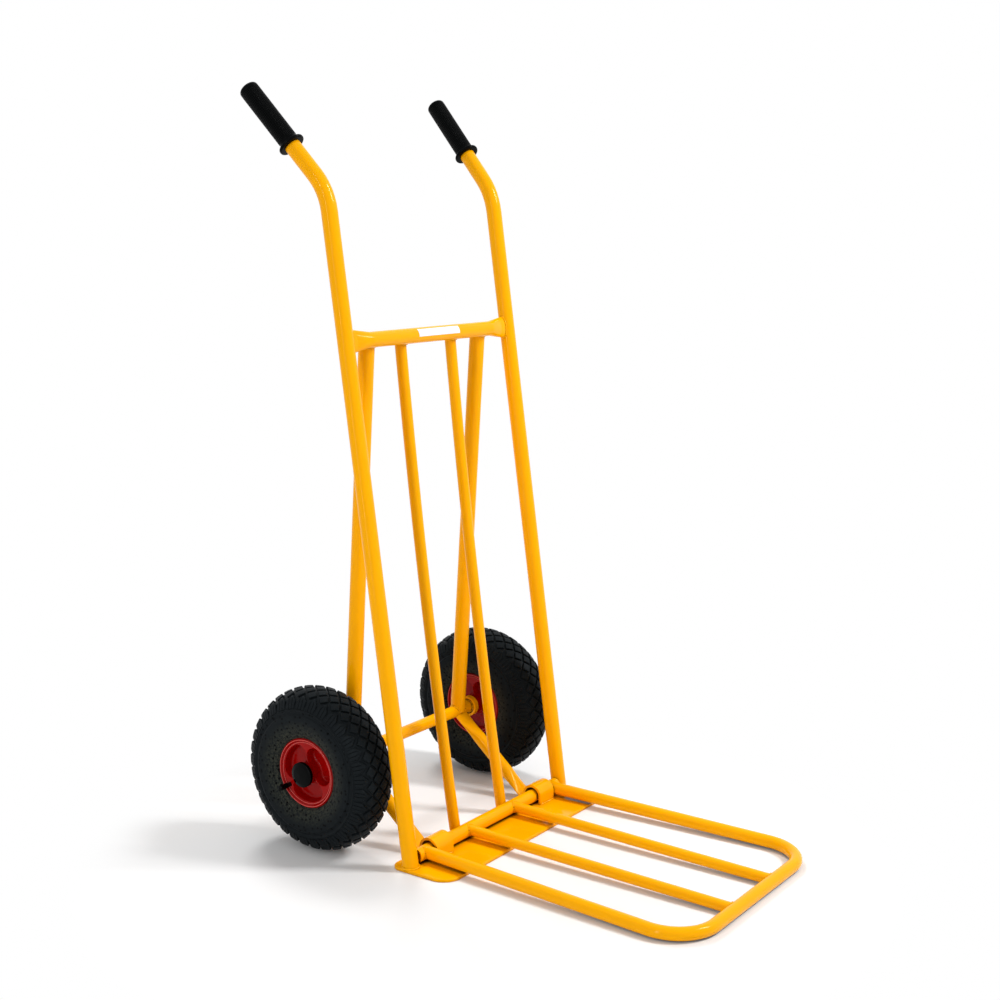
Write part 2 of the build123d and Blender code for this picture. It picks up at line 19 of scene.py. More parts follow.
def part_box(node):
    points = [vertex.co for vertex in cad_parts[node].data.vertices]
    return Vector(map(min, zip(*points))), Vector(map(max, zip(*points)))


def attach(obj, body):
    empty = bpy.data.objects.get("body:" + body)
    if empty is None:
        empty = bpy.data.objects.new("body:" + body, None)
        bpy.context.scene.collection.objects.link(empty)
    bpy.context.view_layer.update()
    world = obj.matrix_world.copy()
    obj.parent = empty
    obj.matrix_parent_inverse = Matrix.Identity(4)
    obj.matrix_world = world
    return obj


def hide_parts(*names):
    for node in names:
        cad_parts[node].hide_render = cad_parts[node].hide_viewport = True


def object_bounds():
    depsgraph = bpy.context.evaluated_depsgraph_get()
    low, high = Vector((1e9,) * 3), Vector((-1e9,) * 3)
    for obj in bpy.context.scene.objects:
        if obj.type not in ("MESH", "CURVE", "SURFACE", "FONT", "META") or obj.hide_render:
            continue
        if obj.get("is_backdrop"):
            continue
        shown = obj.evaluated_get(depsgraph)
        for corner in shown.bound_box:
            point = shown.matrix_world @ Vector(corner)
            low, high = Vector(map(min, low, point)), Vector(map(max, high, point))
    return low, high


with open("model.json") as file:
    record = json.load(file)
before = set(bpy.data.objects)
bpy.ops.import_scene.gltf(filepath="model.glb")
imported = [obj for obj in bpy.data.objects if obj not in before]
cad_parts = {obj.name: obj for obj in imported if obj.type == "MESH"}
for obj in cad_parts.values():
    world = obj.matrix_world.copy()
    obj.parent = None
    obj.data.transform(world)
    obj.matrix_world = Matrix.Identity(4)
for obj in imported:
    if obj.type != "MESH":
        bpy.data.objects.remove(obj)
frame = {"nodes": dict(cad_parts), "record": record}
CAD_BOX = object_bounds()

MM = 0.001
SAME_PLACE = 0.002 * MM
TIP = 0.01
TURN = 2 * math.pi
UP = Vector((0, 0, 1))
ACROSS = Vector((1, 0, 0))
LOG = logging.getLogger("hand_truck")
Pair = tuple[float, float]
Triple = tuple[float, float, float]


class Side(Enum):
    """A choice of side, whose value is a sign."""

    @property
    def word(self) -> str:
        """Name of the side, as the CAD nodes have it."""
        return self.name.lower()


class Hand(Side):
    """Side of the truck. The value is the sign of its X."""

    LEFT = -1
    RIGHT = 1


class Way(Side):
    """Face of a wheel. The value is the sign of the way out from the wheel's middle."""

    OUTER = 1
    INNER = -1


class Slot(Enum):
    """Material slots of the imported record."""

    PAINT = "yellow_paint"
    RED = "red_plastic"
    GRIP = "grip_rubber"
    TYRE = "tyre_rubber"
    TUBE = "tube_rubber"
    CAP = "cap_plastic"
    NYLON = "bearing_nylon"
    ZINC = "zinc_steel"
    LABEL = "label_film"


# Materials

def linear(colour: str) -> tuple[float, float, float, float]:
    """Turn an sRGB hex colour into Blender's linear colour.

    Args:
        colour: Six hex digits after a hash sign.

    Returns:
        Linear red, green and blue, and full opacity.
    """
    parts = [int(colour[place:place + 2], 16) / 255 for place in (1, 3, 5)]
    red, green, blue = (p / 12.92 if p <= 0.04045 else ((p + 0.055) / 1.055) ** 2.4 for p in parts)
    return red, green, blue, 1.0


def per_metre(size_mm: float) -> float:
    """Texture scale that gives a pattern this many millimetres between its features."""
    return 1 / (size_mm * MM)


def add_node(tree: NodeTree, kind: str, inputs: dict | None = None, **settings) -> Node:
    """Add one shader node with its settings and links.

    Args:
        tree: Node tree of the material or the world.
        kind: Blender's name for the node type, without the ShaderNode before it.
        inputs: Values, output sockets or nodes for the inputs, by input name or number. A node gives its first
            output that is in use.
        **settings: Properties of the node itself.

    Returns:
        The new node.
    """
    node = tree.nodes.new(f"ShaderNode{kind}")
    for name, value in settings.items():
        setattr(node, name, value)
    for name, value in (inputs or {}).items():
        if isinstance(value, Node):
            value = next(socket for socket in value.outputs if socket.enabled)
        if isinstance(value, NodeSocket):
            tree.links.new(value, node.inputs[name])
        else:
            node.inputs[name].default_value = value
    return node


@dataclass(frozen=True)
class Finish:
    """A surface with one main colour, a slightly uneven tone and a fine relief."""

    name: str
    colour: str
    tone: str
    roughness: float
    ior: float = 1.5
    specular: float = 0.5
    glint: str = "#FFFFFF"
    metallic: float = 0.0
    tone_mm: float = 40.0
    relief_mm: float = 1.5
    relief_height_mm: float = 0.02
    relief_strength: float = 0.3
    crevice_shade: str = "#000000"
    crevice_shade_mm: float = 0.0
    crevice_shade_range: Pair = (0.3, 0.72)
    crevice_shade_share: float = 0.94

    def material(self) -> Material:
        """Build the node material.

        Returns:
            The new material.
        """
        made = bpy.data.materials.new(self.name)
        made.use_nodes = True
        tree = made.node_tree
        tree.nodes.clear()
        where = add_node(tree, "TexCoord").outputs["Object"]
        colour = self.tint(tree, where)
        # Painted shade in narrow gaps and hollows, where the finish has a reach for it
        if self.crevice_shade_mm > 0:
            colour = self.paint_crevice_shade(tree, colour)
        shader = add_node(tree, "BsdfPrincipled", {
            "Base Color": colour, "Roughness": self.roughness, "IOR": self.ior, "Specular IOR Level": self.specular,
            "Specular Tint": linear(self.glint), "Metallic": self.metallic, "Normal": self.relief(tree, where)})
        add_node(tree, "OutputMaterial", {"Surface": shader})
        return made

    def tint(self, tree: NodeTree, where: NodeSocket) -> Node:
        """Mix the main colour with its second tone in soft patches.

        Args:
            tree: Node tree of the material.
            where: Place on the piece, in metres.

        Returns:
            Node that gives the colour.
        """
        cloud = add_node(tree, "TexNoise", {"Vector": where, "Scale": per_metre(self.tone_mm), "Detail": 3.0})
        return add_node(tree, "Mix", {0: cloud, 6: linear(self.colour), 7: linear(self.tone)}, data_type="RGBA")

    def paint_crevice_shade(self, tree: NodeTree, colour: Node) -> Node:
        """Paint shade into the narrow gaps and hollows, darker where ambient occlusion finds nearby surfaces.

        Args:
            tree: Node tree of the material.
            colour: Node that gives the colour before the painted shade.

        Returns:
            Node that gives the colour.
        """
        gap = add_node(tree, "AmbientOcclusion", {"Distance": self.crevice_shade_mm * MM}, samples=6)
        low, high = self.crevice_shade_range
        shade_amount = add_node(tree, "MapRange", {"Value": gap.outputs["AO"], "From Min": low, "From Max": high,
                                           "To Min": self.crevice_shade_share, "To Max": 0.0})
        return add_node(tree, "Mix", {0: shade_amount, 6: colour, 7: linear(self.crevice_shade)}, data_type="RGBA")

    def relief(self, tree: NodeTree, where: NodeSocket) -> Node:
        """Raise a fine grain on the surface.

        Args:
            tree: Node tree of the material.
            where: Place on the piece, in metres.

        Returns:
            Node that gives the bent normal.
        """
        grain = add_node(tree, "TexNoise", {"Vector": where, "Scale": per_metre(self.relief_mm), "Detail": 2.0})
        return add_node(tree, "Bump", {"Height": grain, "Distance": self.relief_height_mm * MM,
                                       "Strength": self.relief_strength})


@dataclass(frozen=True)
class WheelFinish(Finish):
    """A finish that changes with the place on a wheel."""

    wheel_mm: Triple = (215.0, 171.02, 130.0)

    def from_wheel(self, tree: NodeTree, where: NodeSocket) -> tuple[Node, Node, Node]:
        """Measure a place from the middle of its wheel, alike on both sides of the truck.

        Args:
            tree: Node tree of the material.
            where: Place on the piece, in metres.

        Returns:
            Nodes that give the way from the wheel's middle, the same without its X, and the distance from the axle.
        """
        mirrored = add_node(tree, "VectorMath", {0: where}, operation="ABSOLUTE")
        middle = [MM * part for part in self.wheel_mm]
        way = add_node(tree, "VectorMath", {0: mirrored, 1: middle}, operation="SUBTRACT")
        flat = add_node(tree, "VectorMath", {0: way, 1: (0, 1, 1)}, operation="MULTIPLY")
        return way, flat, add_node(tree, "VectorMath", {0: flat}, operation="LENGTH")


@dataclass(frozen=True)
class DustAndSheenRubber(WheelFinish):
    """Moulded black rubber with pale dust towards the rim, lightened there also as painted sheen, and painted pit
    shade.
    """

    dust_and_sheen: str = "#46473A"
    dust_and_sheen_from_mm: float = 86.0
    dust_and_sheen_full_mm: float = 60.0
    dust_and_sheen_share: float = 0.55
    speck_mm: float = 3.0
    clump: Pair = (0.36, 0.62)
    pit_shade: str = "#020202"
    pit_spacing_mm: float = 11.0
    pit_share: float = 0.13
    pit_fade: float = 1.3
    pit_edge_mm: float = 101.0

    def tint(self, tree: NodeTree, where: NodeSocket) -> Node:
        """Lay dust and painted sheen over the rubber, more of it near the axle, and dot the sides with painted pit
        shade.

        Args:
            tree: Node tree of the material.
            where: Place on the piece, in metres.

        Returns:
            Node that gives the colour.
        """
        rubber = super().tint(tree, where)
        _, flat, radius = self.from_wheel(tree, where)
        # Pale dust near the rim, which also stands for painted sheen on the sidewall
        near = add_node(tree, "MapRange", {"Value": radius, "From Min": self.dust_and_sheen_from_mm * MM,
                                           "From Max": self.dust_and_sheen_full_mm * MM, "To Max": self.dust_and_sheen_share})
        speckle = add_node(tree, "TexNoise", {"Vector": where, "Scale": per_metre(self.speck_mm), "Detail": 4.0})
        low, high = self.clump
        clump = add_node(tree, "MapRange", {"Value": speckle, "From Min": low, "From Max": high})
        share = add_node(tree, "Math", {0: near, 1: clump}, operation="MULTIPLY")
        dust_and_sheen_colour = add_node(tree, "Mix", {0: share, 6: rubber, 7: linear(self.dust_and_sheen)}, data_type="RGBA")
        # Painted shade of small pits: dark dots on the sides
        face = add_node(tree, "VectorRotate", {"Vector": flat, "Angle": TURN / 4}, rotation_type="Y_AXIS")
        cells = add_node(tree, "TexVoronoi", {"Vector": face, "Scale": per_metre(self.pit_spacing_mm)},
                         voronoi_dimensions="2D")
        dot = add_node(tree, "MapRange", {"Value": cells, "From Min": self.pit_share * self.pit_fade,
                                          "From Max": self.pit_share})
        side = add_node(tree, "Math", {0: radius, 1: self.pit_edge_mm * MM}, operation="LESS_THAN")
        pit_shaded = add_node(tree, "Math", {0: dot, 1: side}, operation="MULTIPLY")
        return add_node(tree, "Mix", {0: pit_shaded, 6: dust_and_sheen_colour, 7: linear(self.pit_shade)}, data_type="RGBA")


@dataclass(frozen=True)
class CrestHighlightPlastic(WheelFinish):
    """Moulded plastic of a rim, with painted highlights: paler lines on the two crests that run round its face."""

    painted_highlight: str = "#C8504A"
    crests_mm: tuple[Pair, ...] = ((52.7, 34.0), (48.55, 31.4))
    crest_width_mm: float = 0.8

    def tint(self, tree: NodeTree, where: NodeSocket) -> Node:
        """Paint highlight lines on the crests.

        Args:
            tree: Node tree of the material.
            where: Place on the piece, in metres.

        Returns:
            Node that gives the colour.
        """
        colour = super().tint(tree, where)
        way, _, radius = self.from_wheel(tree, where)
        out = add_node(tree, "Math", {0: add_node(tree, "SeparateXYZ", {0: way})}, operation="ABSOLUTE")
        section = add_node(tree, "CombineXYZ", {"X": radius, "Y": out})
        width = self.crest_width_mm * MM
        # Each crest gets a painted highlight line
        for crest_radius, crest_out in self.crests_mm:
            crest = (crest_radius * MM, crest_out * MM, 0)
            away = add_node(tree, "VectorMath", {0: section, 1: crest}, operation="DISTANCE")
            share = add_node(tree, "MapRange", {"Value": away, "From Min": width, "From Max": width / 2})
            colour = add_node(tree, "Mix", {0: share, 6: colour, 7: linear(self.painted_highlight)}, data_type="RGBA")
        return colour


FINISHES: dict[Slot, Finish] = {
    # Powder coat, sprayed and baked: a warm full yellow, with thin clear highlights along the tubes. Its fine ripple
    # is too small to show, so it is drawn 40 mm broad
    # Its crevices get painted shade
    Slot.PAINT: Finish("powder_coated_steel", "#F8AC00", "#F4A600", 0.13, specular=0.15, glint="#FFE6B0", tone_mm=70,
                       relief_mm=40.0, relief_height_mm=0.01, relief_strength=0.1, crevice_shade="#2A1400", crevice_shade_mm=6.0),
    # Polypropylene, moulded: deep red through and through, with clear soft highlights on every edge
    # The lines on its two crests are painted highlights, and its pockets get painted shade
    Slot.RED: CrestHighlightPlastic("moulded_red_polypropylene", "#980402", "#8C0302", 0.13, ior=1.49, specular=0.1,
                            tone_mm=35, relief_mm=6.0, relief_height_mm=0.01, crevice_shade="#420101", crevice_shade_mm=14.0),
    # Grip rubber, moulded: a dull black whose pads catch a grey sheen
    Slot.GRIP: Finish("moulded_grip_rubber", "#020303", "#050607", 0.3, specular=0.035, tone_mm=9,
                      # The gaps between its pads get painted shade
                      relief_mm=2.5, relief_height_mm=0.01, relief_strength=0.1, crevice_shade_mm=1.5),
    # Tyre rubber, vulcanised in a mould: near black and matte, with an olive bloom of dust and painted sheen by the
    # rim
    # Its grooves get painted shade, and its small pits are painted as dark dots of shade
    Slot.TYRE: DustAndSheenRubber("vulcanised_tyre_rubber", "#101315", "#191D1F", 0.45, specular=0.045,
                           glint="#DDE8F0", tone_mm=7, relief_mm=3.0, relief_height_mm=0.06,
                           crevice_shade="#020202", crevice_shade_mm=4.0),
    # Butyl rubber: soft black with a satin skin
    Slot.TUBE: Finish("butyl_rubber", "#08090A", "#0D0E0F", 0.45, specular=0.15, tone_mm=12, relief_mm=2.0),
    # Polyethylene, moulded: black with an even satin sheen
    Slot.CAP: Finish("moulded_black_polyethylene", "#010202", "#030405", 0.2, ior=1.51, specular=0.05, tone_mm=10,
                     relief_mm=2.5, relief_height_mm=0.01),
    # Nylon, turned: a waxy off-white
    Slot.NYLON: Finish("turned_nylon", "#DAD7CB", "#CFCBBD", 0.45, ior=1.53, tone_mm=8),
    # Zinc-plated steel: a cool grey with a mottled satin shine
    Slot.ZINC: Finish("zinc_plated_steel", "#B9BBBE", "#A4A7AB", 0.32, metallic=1.0, tone_mm=3),
    # Vinyl film: flat clean white with a smooth gloss
    Slot.LABEL: Finish("white_vinyl_film", "#F1F1F5", "#E9E9EF", 0.2, ior=1.53, tone_mm=25, relief_mm=9.0,
                       relief_height_mm=0.01),
}


@cache
def paint(slot: Slot) -> Material:
    """The slot's only material, made when it is first asked for."""
    return FINISHES[slot].material()


def dress_cad() -> None:
    """Give every CAD node its slot's material."""
    for part in frame["record"]["subparts"]:
        slots = frame["nodes"][part["node"]].data.materials
        slots.clear()
        slots.append(paint(Slot(part["material_slot"])))


def put(name: str, data: ID) -> Object:
    """Add an object to the scene.

    Args:
        name: Name of the object.
        data: Its mesh, lamp or camera.

    Returns:
        The new object.
    """
    made = bpy.data.objects.new(name, data)
    bpy.context.scene.collection.objects.link(made)
    return made


# Mesh helpers

@dataclass
class Shell:
    """Points and faces of one piece, gathered in the truck's frame in metres."""

    points: list[Vector] = field(default_factory=list)
    faces: list[list[int]] = field(default_factory=list)

    def ring(self, points: Iterable[Vector]) -> list[int]:
        """Add points.

        Args:
            points: The new points, in order.

        Returns:
            Their numbers.
        """
        first = len(self.points)
        self.points.extend(points)
        return list(range(first, len(self.points)))

    def bridge(self, low: Sequence[int], high: Sequence[int], closed: bool = True) -> None:
        """Join two rows of equal count with quads.

        Args:
            low: Numbers of the first row's points.
            high: Numbers of the second row's points.
            closed: Whether the rows are closed rings.
        """
        count = len(low)
        for here in range(count if closed else count - 1):
            there = (here + 1) % count
            self.faces.append([low[here], low[there], high[there], high[here]])

    def skin(self, rows: Sequence[Sequence[Vector]], closed: bool = True, joined: bool = False) -> list[list[int]]:
        """Stretch quads over rows of points.

        Args:
            rows: Rows of equal count.
            closed: Whether each row is a closed ring.
            joined: Whether the last row joins the first.

        Returns:
            Numbers of the points, row by row.
        """
        numbers = [self.ring(row) for row in rows]
        for low, high in zip(numbers, numbers[1:]):
            self.bridge(low, high, closed)
        if joined:
            self.bridge(numbers[-1], numbers[0], closed)
        return numbers

    def build(self, name: str, slot: Slot, body: str, node: str = "", sharp: float = 35.0) -> Object:
        """Turn the gathered faces into a piece that rides on a body.

        Args:
            name: Name of the piece.
            slot: Material slot of its finish.
            body: Body that it rides on.
            node: CAD node that it stands for, if there is one.
            sharp: Angle in degrees over which an edge stays crisp.

        Returns:
            The new piece, in the scene.
        """
        mesh = bpy.data.meshes.new(name)
        mesh.from_pydata([tuple(point) for point in self.points], [], self.faces)
        work = bmesh.new()
        work.from_mesh(mesh)
        bmesh.ops.remove_doubles(work, verts=work.verts, dist=SAME_PLACE)
        bmesh.ops.recalc_face_normals(work, faces=work.faces)
        work.to_mesh(mesh)
        work.free()
        mesh.polygons.foreach_set("use_smooth", [True] * len(mesh.polygons))
        mesh.set_sharp_from_angle(angle=math.radians(sharp))
        mesh.materials.append(paint(slot))
        made = put(name, mesh)
        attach(made, body)
        if node:
            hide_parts(node)
        return made


def on_circle(turn: float) -> Vector:
    """Flat point of the unit circle at an angle in radians."""
    return Vector((math.cos(turn), math.sin(turn)))


def measure(places: Sequence[Vector]) -> list[float]:
    """Run along a line up to each of its points."""
    return list(accumulate(((high - low).length for low, high in zip(places, places[1:])), initial=0.0))


def locate(runs: Sequence[float], run: float) -> tuple[int, float]:
    """Number of the point before a run on a measured line, and the run's share of the way to the next point."""
    low = min(bisect_right(runs, run), len(runs) - 1) - 1
    return low, (run - runs[low]) / max(runs[low + 1] - runs[low], 1e-9)


def outline(grid: Sequence[Sequence]) -> list:
    """Members on the edge of a grid of rows, once round."""
    edge = [*grid[0], *(row[-1] for row in grid[1:-1])]
    return edge + [*reversed(grid[-1]), *(row[0] for row in reversed(grid[1:-1]))]


def arc_through(start: Vector, middle: Vector, end: Vector, count: int) -> list[Vector]:
    """Points on the circular arc through three flat points.

    Args:
        start: First point.
        middle: Point that the arc passes.
        end: Last point.
        count: Number of steps.

    Returns:
        Points from start to end.
    """
    a, b = middle - start, end - start
    cross = 2 * (a.x * b.y - a.y * b.x)
    centre = start + Vector((b.y * a.dot(a) - a.y * b.dot(b), a.x * b.dot(b) - b.x * a.dot(a))) / cross
    radius = (start - centre).length
    angles = [math.atan2(p.y - centre.y, p.x - centre.x) for p in (start, middle, end)]
    whole, part = ((angles[n] - angles[0]) % TURN for n in (2, 1))
    sweep = whole if part <= whole else whole - TURN
    return [centre + radius * on_circle(angles[0] + sweep * n / count) for n in range(count + 1)]


def rounded(corners: Sequence[Triple], steps: int = 5) -> list[Vector]:
    """Round the corners of a flat open line.

    Args:
        corners: Flat points, each with its corner radius.
        steps: Steps round each corner.

    Returns:
        Points of the rounded line.
    """
    places = [Vector(c[:2]) for c in corners]
    line = [places[0]]
    for before, here, after, corner in zip(places, places[1:], places[2:], corners[1:]):
        back, ahead = (before - here).normalized(), (after - here).normalized()
        half = back.angle(ahead) / 2
        if corner[2] <= 0 or half > math.radians(89):
            line.append(here)
            continue
        reach = corner[2] / math.tan(half)
        centre = here + (back + ahead).normalized() * corner[2] / math.sin(half)
        first, last = here + back * reach - centre, here + ahead * reach - centre
        turns = (first.slerp(last, n / steps).normalized() for n in range(steps + 1))
        line.extend(centre + corner[2] * turn for turn in turns)
    return line + [places[-1]]


def ease(value: float, start: float, end: float) -> float:
    """Smooth step from 0 at start to 1 at end."""
    share = min(max((value - start) / (end - start), 0.0), 1.0)
    return share * share * (3 - 2 * share)


@dataclass
class Contour:
    """Half of a tyre's outer section, run from the middle of the crown to the bead; flat points in millimetres."""

    places: list[Vector]
    runs: list[float] = field(init=False)
    normals: list[Vector] = field(init=False)

    def __post_init__(self) -> None:
        """Measure the run and the outward normal at each point."""
        self.runs = measure(self.places)
        line = [self.places[0], *self.places, self.places[-1]]
        ways = [after - before for before, after in zip(line, line[2:])]
        self.normals = [Vector((-way.y, way.x)).normalized() for way in ways]

    @property
    def length(self) -> float:
        """Run of the whole half section."""
        return self.runs[-1]

    def at(self, run: float, depth: float) -> Pair:
        """Find a point by its run over the surface.

        Args:
            run: Run from the crown's middle, negative on the inner side.
            depth: Depth under the surface.

        Returns:
            Its way out from the wheel's middle, and its radius.
        """
        low, share = locate(self.runs, min(abs(run), self.length))
        place = self.places[low].lerp(self.places[low + 1], share)
        place = place - depth * self.normals[low].lerp(self.normals[low + 1], share).normalized()
        return math.copysign(place.x, run), place.y


# Wheels

@dataclass
class Wheel:
    """One wheel with its tyre and its two rim halves; sizes in millimetres."""

    hand: Hand
    crown_radius: float = 130.0
    crown_half: float = 31.92
    crown_edge: float = 118.48
    belly_half: float = 42.0
    belly_radius: float = 88.0
    bead_half: float = 34.0
    bead_radius: float = 56.2
    wall: float = 6.0
    tread: float = 9.0
    bead_toe: float = 20.5
    bead_seat: float = 50.2
    bead_height: float = 58.2
    flange_foot: float = 29.3
    pitches: int = 33
    facets: int = 10
    row_run: float = 11.0
    diamond_share: float = 0.76
    section_steps: int = 64
    groove_depth: float = 3.4
    groove_fade: Pair = (32.5, 52.5)
    side_step: Triple = (0.9, 40.0, 50.0)
    side_fade: Triple = (0.75, 59.0, 63.0)
    lug_tip_run: float = 28.5
    lug_eaves_run: float = 38.0
    lug_foot_run: float = 51.0
    lug_share: float = 0.82
    lug_tip_share: float = 0.08
    ring_run: float = 53.3
    ring_rib: Triple = (0.9, 0.7, 1.6)
    ring_tick: float = 0.35
    band_run: float = 58.5
    band_rib: Triple = (1.5, 1.2, 3.6)
    bead_line: float = 8.5
    bead_rib: Triple = (0.6, 0.3, 1.0)
    bead_drop: Pair = (1.3, 2.6)
    rim_seat: float = 50.0
    rim_lip_radius: float = 56.0
    rim_half: float = 34.0
    rim_ring_inside: float = 47.5
    inner_lip: float = 48.0
    web_top: float = 30.5
    web_floor: float = 16.0
    web_back: float = 12.0
    bore: float = 13.8
    pocket_outer: float = 46.2
    pocket_inner: float = 15.8
    pocket_turn: float = 31.0
    ridge: float = 3.6
    pocket_round: float = 1.7
    pocket_draft: float = 1.6
    pocket_floor_round: float = 4.0
    pocket_slit: float = 0.4
    bore_slack: float = 1.002
    cap_back: float = 38.0
    cap_shoulder: float = 43.4
    cap_front: float = 46.5
    cap_radius: float = 19.8
    block_flare: float = 1.05
    block_root: float = 0.5
    diamond_edge: float = 0.55
    lug_edge: float = 0.5
    sipe_place: float = 0.36
    sipe_depth: float = 0.9
    sipe_start_run: float = 33.0
    rim_steps: int = 120
    cap_steps: int = 64
    centre: Vector = field(init=False)
    contour: Contour = field(init=False)
    pocket_spine: float = field(init=False)
    pocket_half: float = field(init=False)
    pocket_sweep: float = field(init=False)

    def __post_init__(self) -> None:
        """Take the wheel's centre from the CAD tyre, and work out the tyre's section and the rim's pockets."""
        low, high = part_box(f"{self.hand.word}_tyre")
        self.centre = (low + high) / 2
        edge, steps = Vector((self.crown_half, self.crown_edge)), self.section_steps
        crown = arc_through(Vector((-edge.x, edge.y)), Vector((0, self.crown_radius)), edge, steps)
        side = arc_through(edge, Vector((self.belly_half, self.belly_radius)),
                           Vector((self.bead_half, self.bead_radius)), steps)
        self.contour = Contour(crown[steps // 2:] + side[1:])
        self.pocket_spine = (self.pocket_outer + self.pocket_inner) / 2
        self.pocket_half = (self.pocket_outer - self.pocket_inner) / 2
        self.pocket_sweep = TURN / 6 - (self.pocket_half + self.ridge / 2) / self.pocket_spine

    def place(self, out: float, radius: float, turn: float) -> Vector:
        """Point by its way out from the wheel's middle, its radius and its angle from the front, counted upwards."""
        return self.centre + MM * Vector(
            (self.hand.value * out, -radius * math.cos(turn), radius * math.sin(turn)))

    def on_tyre(self, run: float, turn: float, depth: float) -> Vector:
        """Point of the tyre by its run over the section, its angle and its depth under the CAD surface."""
        return self.place(*self.contour.at(run, depth), turn)

    def turned(self, section: Iterable[Vector], steps: int, way: Way = Way.OUTER) -> list[list[Vector]]:
        """Rings round the axle, one for each way out and radius in a section on one face of the wheel."""
        return [[self.place(way.value * p.x, p.y, TURN * n / steps) for n in range(steps)] for p in section]

    @staticmethod
    def rib(gap: float, shape: Triple) -> float:
        """Height of a rib at a gap from its middle, by its full height and its half widths at top and foot."""
        return shape[0] * (1 - ease(abs(gap), *shape[1:]))

    def carcass_depth(self, run: float) -> float:
        """Depth of the carcass under the CAD tyre's surface.

        Args:
            run: Run from the crown's middle.

        Returns:
            The depth.
        """
        end = self.contour.length
        groove = self.groove_depth * (1 - ease(run, *self.groove_fade))
        step, fade = (shape[0] * ease(run, *shape[1:]) for shape in (self.side_step, self.side_fade))
        side = max(0.0, groove + step - self.rib(run - self.ring_run, self.ring_rib)) * (1 - fade)
        bead = self.bead_drop[0] * ease(run, end - self.bead_drop[1], end)
        lines = self.rib(run - self.band_run, self.band_rib) + self.rib(run - end + self.bead_line, self.bead_rib)
        return side + bead + lines

    def carcass(self, shell: Shell) -> None:
        """Add the tyre's body: groove floor, moulded rings on its sides, beads and the hollow inside."""
        steps = self.pitches * self.facets
        half = self.contour.length
        # Rows lie closer where the rings and the beads are
        runs = [n * 3.0 for n in range(15)] + [44.5 + n * 0.75 for n in range(25)]
        runs += [64 + n * 3.0 for n in range(9)] + [half - 10 + n * 0.6 for n in range(6)]
        runs += [half - 5.5, half - 4, half - 2.6, half - 1.6, half - 0.8, half]
        rows: list[list[Vector]] = []
        for run in [-r for r in reversed(runs[1:])] + runs:
            depth = self.carcass_depth(abs(run))
            tick = self.ring_tick if abs(abs(run) - self.ring_run) < 0.5 else 0.0
            rows.append([self.on_tyre(run, TURN * n / steps, depth + tick * (n % 2)) for n in range(steps)])
        edge = Vector((self.crown_half - self.wall, self.crown_edge - self.tread))
        inside = [Vector((self.flange_foot, self.bead_seat)), Vector((self.bead_toe, self.bead_seat))]
        inside += arc_through(Vector((self.bead_toe, self.bead_height)),
                              Vector((self.belly_half - self.wall, self.belly_radius)), edge, 8)
        inside += arc_through(edge, Vector((0, self.crown_radius - self.tread)), Vector((-edge.x, edge.y)), 8)[1:5]
        rows += self.turned(inside, steps)
        rows += self.turned(inside[-2::-1], steps, Way.INNER)
        shell.skin(rows, joined=True)

    def block(self, shell: Shell, grid: Sequence[Sequence[Triple]], sink: float) -> None:
        """Add one closed tread block.

        Args:
            shell: Mesh that takes the faces.
            grid: Top of the block in rows: run, turn and depth under the CAD surface.
            sink: Depth of the block's foot under the CAD surface.
        """
        numbers = shell.skin([[self.on_tyre(*top) for top in row] for row in grid], closed=False)
        edge = outline(grid)
        middle_run, middle_turn = (sum(top[n] for top in edge) / len(edge) for n in (0, 1))
        foot = []
        for run, turn, _ in edge:
            run = middle_run + (run - middle_run) * self.block_flare
            turn = middle_turn + (turn - middle_turn) * self.block_flare
            foot.append(self.on_tyre(run, turn, max(sink, self.carcass_depth(abs(run)) + self.block_root)))
        ring = shell.ring(foot)
        shell.bridge(outline(numbers), ring)
        shell.faces.append(ring)

    def diamonds(self, shell: Shell) -> None:
        """Add the five rows of diamond blocks on the crown."""
        knots = (-1.0, -0.9, -0.45, 0.0, 0.45, 0.9, 1.0)
        half_turn = TURN / self.pitches / 2 * self.diamond_share
        half_run = self.row_run * self.diamond_share
        for row in range(-2, 3):
            for pitch in range(self.pitches):
                turn = TURN * (pitch + 0.5 * (row % 2)) / self.pitches
                grid = [[(row * self.row_run + (q - p) / 2 * half_run, turn + (p + q) / 2 * half_turn,
                          self.diamond_edge if max(abs(p), abs(q)) == 1.0 else 0.0) for q in knots] for p in knots]
                self.block(shell, grid, self.groove_depth + self.block_root)

    def lugs(self, shell: Shell) -> None:
        """Add the pointed lugs on both shoulders, each with two thin sipes."""
        half_knots = (0.30, self.sipe_place, 0.42, 0.92, 1.0)
        knots = (*(-knot for knot in reversed(half_knots)), 0.0, *half_knots)
        half_turn = TURN / self.pitches / 2 * self.lug_share
        runs = (self.lug_tip_run, self.lug_tip_run + 0.8, 32.0, 35.0, self.lug_eaves_run, 41.0, 44.0, 47.0, 49.5,
                self.lug_foot_run)
        shape = []
        for run in runs:
            wide = min((run - self.lug_tip_run) / (self.lug_eaves_run - self.lug_tip_run), 1.0)
            wide = half_turn * (self.lug_tip_share + (1 - self.lug_tip_share) * wide)
            line = []
            for knot in knots:
                depth = self.lug_edge if abs(knot) == 1.0 or run == self.lug_tip_run else 0.0
                if abs(knot) == self.sipe_place and run > self.sipe_start_run:
                    depth = self.sipe_depth
                line.append((run, knot * wide, depth))
            shape.append(line)
        for side in (-1, 1):
            for pitch in range(self.pitches):
                turn = TURN * (pitch + 0.5) / self.pitches
                grid = [[(side * run, turn + lean, depth) for run, lean, depth in line] for line in shape]
                self.block(shell, grid, 0.0)

